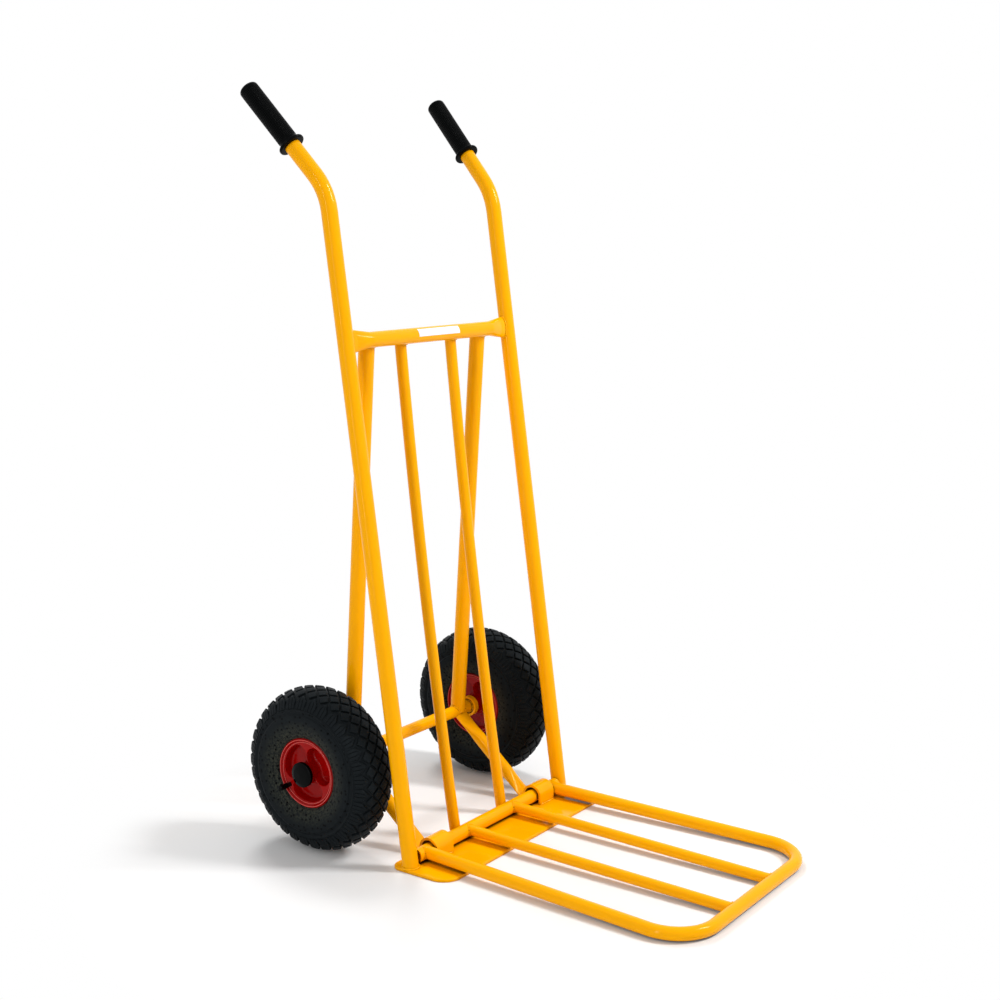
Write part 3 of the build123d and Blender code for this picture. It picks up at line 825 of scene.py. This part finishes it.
    def build_tyre(self) -> Object:
        """Build the tyre.

        Returns:
            The tyre, riding on its wheel in place of the CAD tyre.
        """
        shell = Shell()
        self.carcass(shell)
        self.diamonds(shell)
        self.lugs(shell)
        hand = self.hand.word
        return shell.build(f"{hand}_treaded_tyre", Slot.TYRE, f"{hand}_wheel", f"{hand}_tyre")

    def pocket_line(self, turn: float, inset: float) -> list[Vector]:
        """Outline of one pocket in the rim's face.

        Args:
            turn: Angle of the pocket's middle in radians.
            inset: How far the line lies inside the pocket's edge.

        Returns:
            Flat points, along the front and up, in millimetres.
        """
        reach = self.pocket_half - inset
        turns = [turn + self.pocket_sweep * (n / 12 - 1) for n in range(25)]
        line = []
        for way, arc, start in ((1, turns, 0.0), (-1, turns[::-1], math.pi)):
            line += [(self.pocket_spine + way * reach) * on_circle(t) for t in arc]
            end = self.pocket_spine * on_circle(arc[-1])
            line += [end + reach * on_circle(arc[-1] + start + math.pi * n / 16) for n in range(1, 16)]
        return line

    def in_pocket(self, place: Vector, turns: Sequence[float]) -> bool:
        """Tell whether a flat point of the rim's face lies over a pocket.

        Args:
            place: The point.
            turns: Angles of the pockets' middles.

        Returns:
            Whether a pocket is there.
        """
        for turn in turns:
            t = (math.atan2(place.y, place.x) - turn + math.pi) % TURN - math.pi
            t = turn + min(max(t, -self.pocket_sweep), self.pocket_sweep)
            if (place - self.pocket_spine * on_circle(t)).length < self.pocket_half + self.pocket_round:
                return True
        return False

    def face_point(self, way: Way, flat: Vector, out: float) -> Vector:
        """Point of a rim half from flat face coordinates and its way out."""
        return self.place(way.value * out, flat.length, math.atan2(flat.y, flat.x))

    def web(self, shell: Shell, way: Way) -> None:
        """Add the flat face of a rim half with its three deep pockets.

        Args:
            shell: Mesh that takes the faces.
            way: Face of the wheel.
        """
        turns = [math.radians(self.pocket_turn + 120 * n) for n in range(3)]
        circle = [on_circle(TURN * n / self.rim_steps) for n in range(self.rim_steps)]
        loops = [[self.inner_lip * p for p in circle], [self.bore * p for p in circle[::2]]]
        loops += [self.pocket_line(turn, -self.pocket_round) for turn in turns]
        flat: list[Vector] = []
        edges: list[tuple[int, int]] = []
        for loop in loops:
            first = len(flat)
            flat.extend(loop)
            edges.extend((first + n, first + (n + 1) % len(loop)) for n in range(len(loop)))
        places, _, triangles, *_ = delaunay_2d_cdt(flat, edges, [], 0, 1e-4)
        numbers = shell.ring(self.face_point(way, p, self.web_top) for p in places)
        for triangle in triangles:
            middle = sum((places[n] for n in triangle), Vector((0, 0))) / len(triangle)
            if middle.length > self.bore * self.bore_slack and not self.in_pocket(middle, turns):
                shell.faces.append([numbers[n] for n in triangle])
        top, foot, draft = self.pocket_round, self.pocket_floor_round, self.pocket_draft
        drop = self.web_top - top - self.web_floor - foot
        quarter = [on_circle(TURN / 4 * n / 5) for n in range(6)]
        steps = [(top * p.y - top, self.web_top - top + top * p.x) for p in quarter]
        steps += [(draft * n / 4, self.web_top - top - drop * n / 4) for n in range(1, 4)]
        steps += [(draft + foot - foot * p.x, self.web_floor + foot - foot * p.y) for p in quarter]
        steps += [((draft + foot + self.pocket_half) / 2, self.web_floor),
                  (self.pocket_half - self.pocket_slit, self.web_floor)]
        for turn in turns:
            rows = [[self.face_point(way, p, out) for p in self.pocket_line(turn, inset)] for inset, out in steps]
            shell.faces.append(shell.skin(rows)[-1])

    def build_rim(self, way: Way) -> Object:
        """Build one rim half.

        Args:
            way: Face of the wheel.

        Returns:
            The rim half, riding on its wheel in place of the CAD one.
        """
        shell = Shell()
        top, lip = self.web_top, self.inner_lip
        ring = rounded((
            (top, lip, 0), (top + 0.9, lip + 0.1, 0.3), (top + 0.9, lip + 1.0, 0.3), (top + 0.1, lip + 1.7, 0.4),
            (self.rim_half, self.rim_lip_radius - 3.7, 0.4), (self.rim_half, self.rim_lip_radius - 2.9, 0.4),
            (self.rim_half - 2.5, self.rim_lip_radius, 0.3), (self.flange_foot, self.rim_seat, 0.5),
            (0.0, self.rim_seat, 0.2), (0.0, self.rim_ring_inside, 0.2), (self.web_back, self.rim_ring_inside, 0.8),
            (self.web_back, self.bore, 0), (top, self.bore, 0)))
        shell.skin(self.turned(ring, self.rim_steps, way))
        self.web(shell, way)
        name = f"{self.hand.word}_{way.word}_rim"
        return shell.build(f"{name}_moulding", Slot.RED, f"{self.hand.word}_wheel", name, sharp=40)

    def build_cap(self) -> Object:
        """Build the domed cap on the axle's end.

        Returns:
            The cap, riding on the frame in place of the CAD one.
        """
        shell = Shell()
        edge = rounded(((self.cap_back, TIP, 0), (self.cap_back, self.cap_radius, 0.6),
                        (self.cap_shoulder, self.cap_radius, 1.2), (self.cap_front - 1.0, self.cap_radius * 0.7, 2.0),
                        (self.cap_front, TIP, 0)))
        shell.skin(self.turned(edge, self.cap_steps))
        name = f"{self.hand.word}_hub_cap"
        return shell.build(f"{name}_moulding", Slot.CAP, "frame", name)

    def build(self) -> list[Object]:
        """Build the tyre, the two rim halves and the cap on the axle."""
        return [self.build_tyre(), self.build_rim(Way.OUTER), self.build_rim(Way.INNER), self.build_cap()]


# Handles

@dataclass
class Grip:
    """One moulded handle grip with rows of small pads and a round flange; sizes in millimetres."""

    hand: Hand
    stile_x: float = 204.0
    lean: float = 8.1
    bend_height: float = 1010.0
    reach: float = 200.0
    rise_angle: float = 48.0
    splay: float = 20.0
    length: float = 115.0
    radius: float = 15.0
    bore: float = 12.5
    end_wall: float = 4.0
    end_round: float = 5.0
    flange_radius: float = 20.5
    flange: float = 5.0
    flange_round: float = 2.0
    plain_start: float = 12.0
    plain_end: float = 9.0
    columns: int = 34
    pads: int = 30
    pad_height: float = 0.75
    pad_along: tuple[Pair, ...] = ((0.04, 0.0), (0.24, 1.0), (0.8, 1.0))
    pad_round: tuple[Pair, ...] = ((0.0, 0.0), (0.2, 1.0), (0.5, 1.0), (0.8, 1.0))

    def axis(self) -> tuple[Vector, Vector]:
        """Find where the grip starts on the handle, and which way it points.

        Returns:
            The start in millimetres, and the direction.
        """
        bend = Vector((self.hand.value * self.stile_x, self.bend_height * math.tan(math.radians(self.lean)),
                       self.bend_height))
        rise = math.radians(self.rise_angle)
        handle = Vector((self.hand.value * self.splay, self.reach * math.cos(rise), self.reach * math.sin(rise)))
        return bend + handle * (1 - self.length / handle.length), handle.normalized()

    def profile(self) -> list[Triple]:
        """List the rings of the grip from the closed inner end of its bore round to its outer end.

        Returns:
            For each ring its run along the handle, its radius and the height of its pads.
        """
        base, end = self.radius - self.pad_height, self.length - self.plain_end
        outer = rounded((
            (self.length - self.end_wall, TIP, 0), (self.length - self.end_wall, self.bore, 0), (0, self.bore, 0),
            (0, self.flange_radius, self.flange_round), (self.flange, self.flange_radius, self.flange_round),
            (self.flange, base, 1.0), (self.plain_start, base, 0)))
        rings = [(p.x, p.y, 0.0) for p in outer]
        span = (end - self.plain_start) / self.pads
        rings += [(self.plain_start + (pad + share) * span, base, lift)
                  for pad in range(self.pads) for share, lift in self.pad_along]
        tail = rounded(((end + 0.2, base, 0), (end + 0.9, self.radius - 0.1, 0.3),
                        (self.length, self.radius - 0.1, self.end_round), (self.length, TIP, 0)), steps=8)
        return rings + [(p.x, p.y, 0.0) for p in tail]

    def build(self) -> Object:
        """Build the grip.

        Returns:
            The grip, riding on the frame in place of the CAD grip.
        """
        start, along = self.axis()
        side = along.cross(UP).normalized()
        top = side.cross(along)
        shell = Shell()
        rows = []
        for run, radius, pad in self.profile():
            row = []
            for column in range(self.columns):
                for share, lift in self.pad_round:
                    flat = on_circle(TURN * (column + share) / self.columns)
                    wide = radius + self.pad_height * pad * lift
                    row.append(MM * (start + along * run + wide * (flat.x * side + flat.y * top)))
            rows.append(row)
        shell.skin(rows)
        name = f"{self.hand.word}_grip"
        return shell.build(f"{name}_moulding", Slot.GRIP, "frame", name, sharp=50)


# Welds

Joint = tuple[list[Vector], bool]
Bead = tuple[list[Vector], bool, float]


@dataclass
class Bar:
    """A straight tube, for the line where another tube meets it; millimetres."""

    point: Vector
    along: Vector
    radius: float


@dataclass
class Welds:
    """The rippled weld beads under the paint; sizes in millimetres."""

    bead: float = 1.9
    heavy: float = 1.2
    light: float = 0.8
    lightest: float = 0.45
    end_share: float = 0.35
    end_steps: int = 3
    shortest: int = 5
    ripple: float = 0.14
    ripple_pitch: float = 2.6
    step: float = 0.65
    sides: int = 8
    ring_steps: int = 96
    meet_steps: int = 144
    plate_top: float = 5.0
    stile_x: float = 204.0
    stile_radius: float = 12.5
    lean: float = 8.1
    inner_bar_x: float = 63.0
    inner_bar_radius: float = 9.0
    inner_bar_foot: float = 21.5
    inner_bar_behind: float = 12.5
    crossbar_y: float = 112.72
    crossbar_z: float = 792.0
    crossbar_radius: float = 12.0
    crossbar_end_half_height: float = 16.5
    crossbar_end_half_depth: float = 6.0
    strut_x: float = 140.0
    rear_strut_radius: float = 12.5
    rear_strut_top: float = 126.7
    lower_strut_foot: float = 24.5
    lower_strut_half_width: float = 15.5
    lower_strut_half_depth: float = 3.0
    axle_y: float = 171.02
    axle_z: float = 130.0
    axle_radius: float = 10.0
    collar_out: float = 168.0
    collar_recess: float = 3.0
    knuckle_weld_in: float = 121.0
    knuckle_weld_out: float = 159.0
    knuckle_half: float = 18.0
    hinge_y: float = 1.0
    hinge_z: float = 16.8
    hinge_radius: float = 11.0
    platform_lift: float = 2.0
    platform_length: float = 473.0
    platform_drop: float = 8.8
    platform_bar_x: float = 61.0
    platform_bar_radius: float = 8.5
    loop_half_width: float = 171.0
    loop_splay: float = 20.0
    loop_radius: float = 10.0

    def sweep(self, shell: Shell, path: Sequence[Vector], closed: bool, size: float) -> None:
        """Lay one bead along a path.

        Args:
            shell: Mesh that takes the faces.
            path: Points of the path in millimetres.
            closed: Whether the path is a ring.
            size: Radius of the bead.
        """
        line = self.even(path, closed)
        count = len(line)
        rows = []
        for n, here in enumerate(line):
            ahead = line[(n + 1) % count] if closed else line[min(n + 1, count - 1)]
            back = line[n - 1] if closed else line[max(n - 1, 0)]
            along = (ahead - back).normalized()
            side = along.cross(UP if abs(along.z) < 0.9 else ACROSS).normalized()
            top = side.cross(along)
            wide = size * (1 + self.ripple * math.sin(TURN * n * self.step / self.ripple_pitch))
            if not closed:
                inward = min(1.0, n / self.end_steps, (count - 1 - n) / self.end_steps)
                wide *= self.end_share + (1 - self.end_share) * inward
            flats = (on_circle(TURN * k / self.sides) for k in range(self.sides))
            rows.append([MM * (here + wide * (flat.x * side + flat.y * top)) for flat in flats])
        numbers = shell.skin(rows, joined=closed)
        if not closed:
            shell.faces += [numbers[0], numbers[-1]]

    def even(self, path: Sequence[Vector], closed: bool) -> list[Vector]:
        """Space the points of a path evenly.

        Args:
            path: Points of the path.
            closed: Whether the path is a ring.

        Returns:
            Points about one step apart.
        """
        corners = list(path) + ([path[0]] if closed else [])
        runs = measure(corners)
        count = max(4, round(runs[-1] / self.step))
        places = (locate(runs, runs[-1] * n / count) for n in range(count if closed else count + 1))
        return [corners[low].lerp(corners[low + 1], share) for low, share in places]

    def circle(self) -> list[Vector]:
        """Flat unit circle for a bead's path."""
        return [on_circle(TURN * n / self.ring_steps) for n in range(self.ring_steps)]

    def ellipse(self, x: float, y: float, half_x: float, half_y: float) -> list[Vector]:
        """Ring on the toe plate's top round a tube's foot."""
        return [Vector((x + half_x * p.x, y + half_y * p.y, self.plate_top)) for p in self.circle()]

    def meet(self, tube: Bar, other: Bar, half_a: float = 0.0, half_b: float = 0.0,
             axis_a: Vector = ACROSS) -> list[Joint]:
        """Find where a tube's surface enters another tube.

        Args:
            tube: Tube that ends on the other one, pointing to it.
            other: Tube that it ends on.
            half_a: Half size of the first tube's end along axis_a, where the end isn't round.
            half_b: Half size of that end across axis_a.
            axis_a: Direction of half_a.

        Returns:
            Runs of points, each with whether it is a closed ring.
        """
        first = (axis_a - tube.along * axis_a.dot(tube.along)).normalized()
        second = tube.along.cross(first)
        points: list[Vector | None] = []
        for n in range(self.meet_steps):
            flat = on_circle(TURN * n / self.meet_steps)
            start = tube.point + (half_a or tube.radius) * flat.x * first + (half_b or tube.radius) * flat.y * second
            gap = start - other.point
            gap -= other.along * gap.dot(other.along)
            way = tube.along - other.along * tube.along.dot(other.along)
            a, b, c = way.dot(way), 2 * gap.dot(way), gap.dot(gap) - other.radius ** 2
            inside = b * b - 4 * a * c
            points.append(start + tube.along * ((-b - math.sqrt(inside)) / (2 * a)) if inside > 0 else None)
        if None not in points:
            return [(points, True)]
        first_gap = points.index(None)
        points = points[first_gap:] + points[:first_gap]
        runs = [list(run) for empty, run in groupby(points, lambda point: point is None) if not empty]
        return [(run, False) for run in runs if len(run) > self.shortest]

    def frame_paths(self, hand: Hand) -> list[Bead]:
        """List the beads on one side of the frame.

        Args:
            hand: Side of the truck.

        Returns:
            For each bead its path, whether it is a ring, and its radius.
        """
        side, lean = hand.value, math.radians(self.lean)
        slope = math.tan(lean)
        upright = Vector((0, slope, 1)).normalized()
        crossbar = Bar(Vector((0, self.crossbar_y, self.crossbar_z)), ACROSS, self.crossbar_radius)
        axle = Bar(Vector((0, self.axle_y, self.axle_z)), ACROSS, self.axle_radius)
        stile = Bar(Vector((side * self.stile_x, self.crossbar_y, self.crossbar_z)), upright, self.stile_radius)
        paths = [(self.ellipse(side * self.stile_x, self.plate_top * slope, self.stile_radius,
                               self.stile_radius / math.cos(lean)), True, self.bead * self.heavy),
                 (self.ellipse(side * self.inner_bar_x, self.inner_bar_foot, self.inner_bar_radius,
                               self.inner_bar_radius), True, self.bead)]
        bar_top = Vector((side * self.inner_bar_x, self.crossbar_y + self.inner_bar_behind, self.crossbar_z))
        bar_foot = Vector((side * self.inner_bar_x, self.inner_bar_foot, self.plate_top))
        joints = self.meet(Bar(bar_top, (bar_top - bar_foot).normalized(), self.inner_bar_radius), crossbar)
        strut_top = Vector((side * self.strut_x, self.rear_strut_top, self.crossbar_z))
        strut_foot = Vector((side * self.strut_x, self.axle_y, self.axle_z))
        strut_way = (strut_top - strut_foot).normalized()
        joints += self.meet(Bar(strut_top, strut_way, self.rear_strut_radius), crossbar)
        joints += self.meet(Bar(strut_foot, -strut_way, self.rear_strut_radius), axle)
        joints += self.meet(Bar(stile.point, side * ACROSS, 0), stile,
                            self.crossbar_end_half_height, self.crossbar_end_half_depth, upright)
        paths += [(run, closed, self.bead) for run, closed in joints]
        brace = strut_foot - Vector((side * self.strut_x, self.lower_strut_foot, self.plate_top))
        lean_out = brace.length / brace.z
        paths.append((self.ellipse(side * self.strut_x, self.lower_strut_foot, self.lower_strut_half_width,
                                   self.lower_strut_half_depth * lean_out), True, self.bead))
        for y in (self.hinge_y - self.knuckle_half, self.hinge_y + self.knuckle_half):
            ends = [Vector((side * x, y, self.plate_top)) for x in (self.knuckle_weld_in, self.knuckle_weld_out)]
            paths.append((ends, False, self.bead))
        ring = [Vector((side * (self.collar_out + self.collar_recess), self.axle_y + self.axle_radius * p.x,
                        self.axle_z + self.axle_radius * p.y)) for p in self.circle()]
        paths.append((ring, True, self.bead * self.heavy))
        return paths

    def platform_paths(self, hand: Hand) -> list[Bead]:
        """List the beads on one side of the platform.

        Args:
            hand: Side of the truck.

        Returns:
            For each bead its path, whether it is a ring, and its radius.
        """
        side = hand.value
        drop = math.asin(self.platform_drop / self.platform_length)
        ahead = Vector((0, -math.cos(drop), -math.sin(drop)))
        root = Vector((0, self.hinge_y, self.hinge_z + self.platform_lift))
        hinge = Bar(Vector((0, self.hinge_y, self.hinge_z)), ACROSS, self.hinge_radius)
        front = Bar(root + ahead * self.platform_length, ACROSS, self.loop_radius)
        bar = root + side * self.platform_bar_x * ACROSS
        joints = self.meet(Bar(bar, -ahead, self.platform_bar_radius), hinge)
        joints += self.meet(Bar(bar, ahead, self.platform_bar_radius), front)
        paths = [(run, closed, self.bead * self.light) for run, closed in joints]
        corner = root + side * self.loop_half_width * ACROSS
        leg = (ahead * self.platform_length + side * self.loop_splay * ACROSS).normalized()
        ends = self.meet(Bar(corner, -leg, self.loop_radius), hinge)
        return paths + [(run, closed, self.bead * self.lightest) for run, closed in ends]

    def build(self) -> list[Object]:
        """Build the beads.

        Returns:
            The frame's beads and the platform's beads, each riding on its body.
        """
        pieces = []
        for body, paths in (("frame", self.frame_paths), ("platform", self.platform_paths)):
            shell = Shell()
            for hand in Hand:
                for path, closed, size in paths(hand):
                    self.sweep(shell, path, closed, size)
            pieces.append(shell.build(f"{body}_weld_beads", Slot.PAINT, body, sharp=60))
        return pieces


# Studio

@dataclass
class Studio:
    """Pale floor, soft lamps, white surroundings and the camera; sizes in metres."""

    floor_half: float = 9.0
    floor_colour: str = "#E6E6E6"
    floor_lift: float = 0.02
    floor_fade: Pair = (0.5, 0.63)
    floor_middle: Triple = (-0.1, -0.06, 0.0)
    sky: float = 0.54
    focus: Triple = (0.0, 0.05, 0.5)
    camera_place: Triple = (-1.93325, -1.40123, 0.96938)
    camera_azimuth: float = -54.2189
    camera_elevation: float = 10.6759
    lens_share: float = 1.56004
    shift: Pair = (0.00586, 0.01278)

    def seen(self, tree: NodeTree) -> Node:
        """Tell the rays that show a surface to the eye from those that light the object.

        Args:
            tree: Node tree of a material or the world.

        Returns:
            Node that gives 1 for camera, glossy and transmission rays.
        """
        rays = add_node(tree, "LightPath").outputs
        either = add_node(tree, "Math", {0: rays["Is Camera Ray"], 1: rays["Is Glossy Ray"]}, operation="MAXIMUM")
        return add_node(tree, "Math", {0: either, 1: rays["Is Transmission Ray"]}, operation="MAXIMUM")

    def build_floor(self) -> None:
        """Lay the floor, which keeps the shadow and reads as white, and mark it as stage."""
        half = self.floor_half
        mesh = bpy.data.meshes.new("studio_floor")
        mesh.from_pydata([(-half, -half, 0), (half, -half, 0), (half, half, 0), (-half, half, 0)], [], [(0, 1, 2, 3)])
        made = put("studio_floor", mesh)
        # Painted board: a pale matte sheet with no pattern
        material = bpy.data.materials.new("pale_matte_board")
        material.use_nodes = True
        tree = material.node_tree
        tree.nodes.clear()
        seen = self.seen(tree)
        board = add_node(tree, "BsdfDiffuse", {"Color": linear(self.floor_colour)})
        lift = add_node(tree, "Math", {0: seen, 1: self.floor_lift}, operation="MULTIPLY")
        glow = add_node(tree, "Emission", {"Strength": lift})
        both = add_node(tree, "AddShader", {0: board, 1: glow})
        where = add_node(tree, "TexCoord").outputs["Object"]
        reach = add_node(tree, "VectorMath", {0: where, 1: self.floor_middle}, operation="DISTANCE")
        low, high = self.floor_fade
        far = add_node(tree, "MapRange", {"Value": reach, "From Min": low, "From Max": high},
                       interpolation_type="SMOOTHSTEP")
        fade = add_node(tree, "Math", {0: far, 1: seen}, operation="MULTIPLY")
        white = add_node(tree, "Emission", {"Strength": 1.0})
        whole = add_node(tree, "MixShader", {0: fade, 1: both, 2: white})
        add_node(tree, "OutputMaterial", {"Surface": whole})
        mesh.materials.append(material)
        made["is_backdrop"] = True

    def build_world(self) -> None:
        """Surround the scene with white that lights it only softly."""
        world = bpy.data.worlds.new("white_surroundings")
        bpy.context.scene.world = world
        world.use_nodes = True
        tree = world.node_tree
        tree.nodes.clear()
        strength = add_node(tree, "MapRange", {"Value": self.seen(tree), "To Min": self.sky, "To Max": 1.0})
        sky = add_node(tree, "Background", {"Color": linear("#FFFFFF"), "Strength": strength})
        add_node(tree, "OutputWorld", {"Surface": sky})

    def add_lamp(self, name: str, place: Triple, size: Pair, power: float, glints: bool = True) -> None:
        """Hang a soft lamp that faces the truck.

        Args:
            name: Name of the lamp.
            place: Where it hangs.
            size: Its width and height.
            power: Its power in watts.
            glints: Whether glossy surfaces mirror it.
        """
        lamp = bpy.data.lights.new(name, "AREA")
        lamp.shape = "RECTANGLE"
        lamp.size, lamp.size_y = size
        lamp.energy = power
        made = put(name, lamp)
        made.location = place
        made.visible_glossy = glints
        made.rotation_euler = (Vector(self.focus) - Vector(place)).to_track_quat("-Z", "Y").to_euler()

    def build_camera(self) -> None:
        """Set the camera at the photograph's viewing angle."""
        data = bpy.data.cameras.new("photo_camera")
        data.sensor_width = 36.0
        data.sensor_fit = "HORIZONTAL"
        data.lens = self.lens_share * data.sensor_width
        data.shift_x, data.shift_y = self.shift
        made = put("photo_camera", data)
        made.location = self.camera_place
        made.rotation_euler = (TURN / 4 - math.radians(self.camera_elevation), 0, math.radians(self.camera_azimuth))
        bpy.context.scene.camera = made

    def build(self) -> None:
        """Set up the whole studio."""
        bpy.context.scene.view_settings.view_transform = "Standard"
        self.build_world()
        self.build_floor()
        self.add_lamp("key_softbox", (1.25, -2.15, 2.7), (0.6, 1.1), 84.0)
        self.add_lamp("left_strip", (-2.6, -0.2, 1.1), (0.1, 2.2), 20.0)
        self.add_lamp("back_softbox", (0.9, 1.5, 2.7), (0.9, 0.9), 40.0, glints=False)
        self.build_camera()


def write_sizes() -> None:
    boxes = {"cad": CAD_BOX, "visual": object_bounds()}
    {name: [list(corner) for corner in box] for name, box in boxes.items()}


def main() -> None:
    """Build the studio, then dress the truck piece by piece."""
    logging.basicConfig(level=logging.INFO, format="%(name)s: %(message)s")
    Studio().build()
    dress_cad()
    pieces: list[Object] = []
    for hand in Hand:
        pieces += Wheel(hand).build()
        pieces.append(Grip(hand).build())
    pieces += Welds().build()
    for piece in pieces:
        LOG.info("%s: %d faces", piece.name, len(piece.data.polygons))
    write_sizes()


if __name__ == "__main__":
    main()
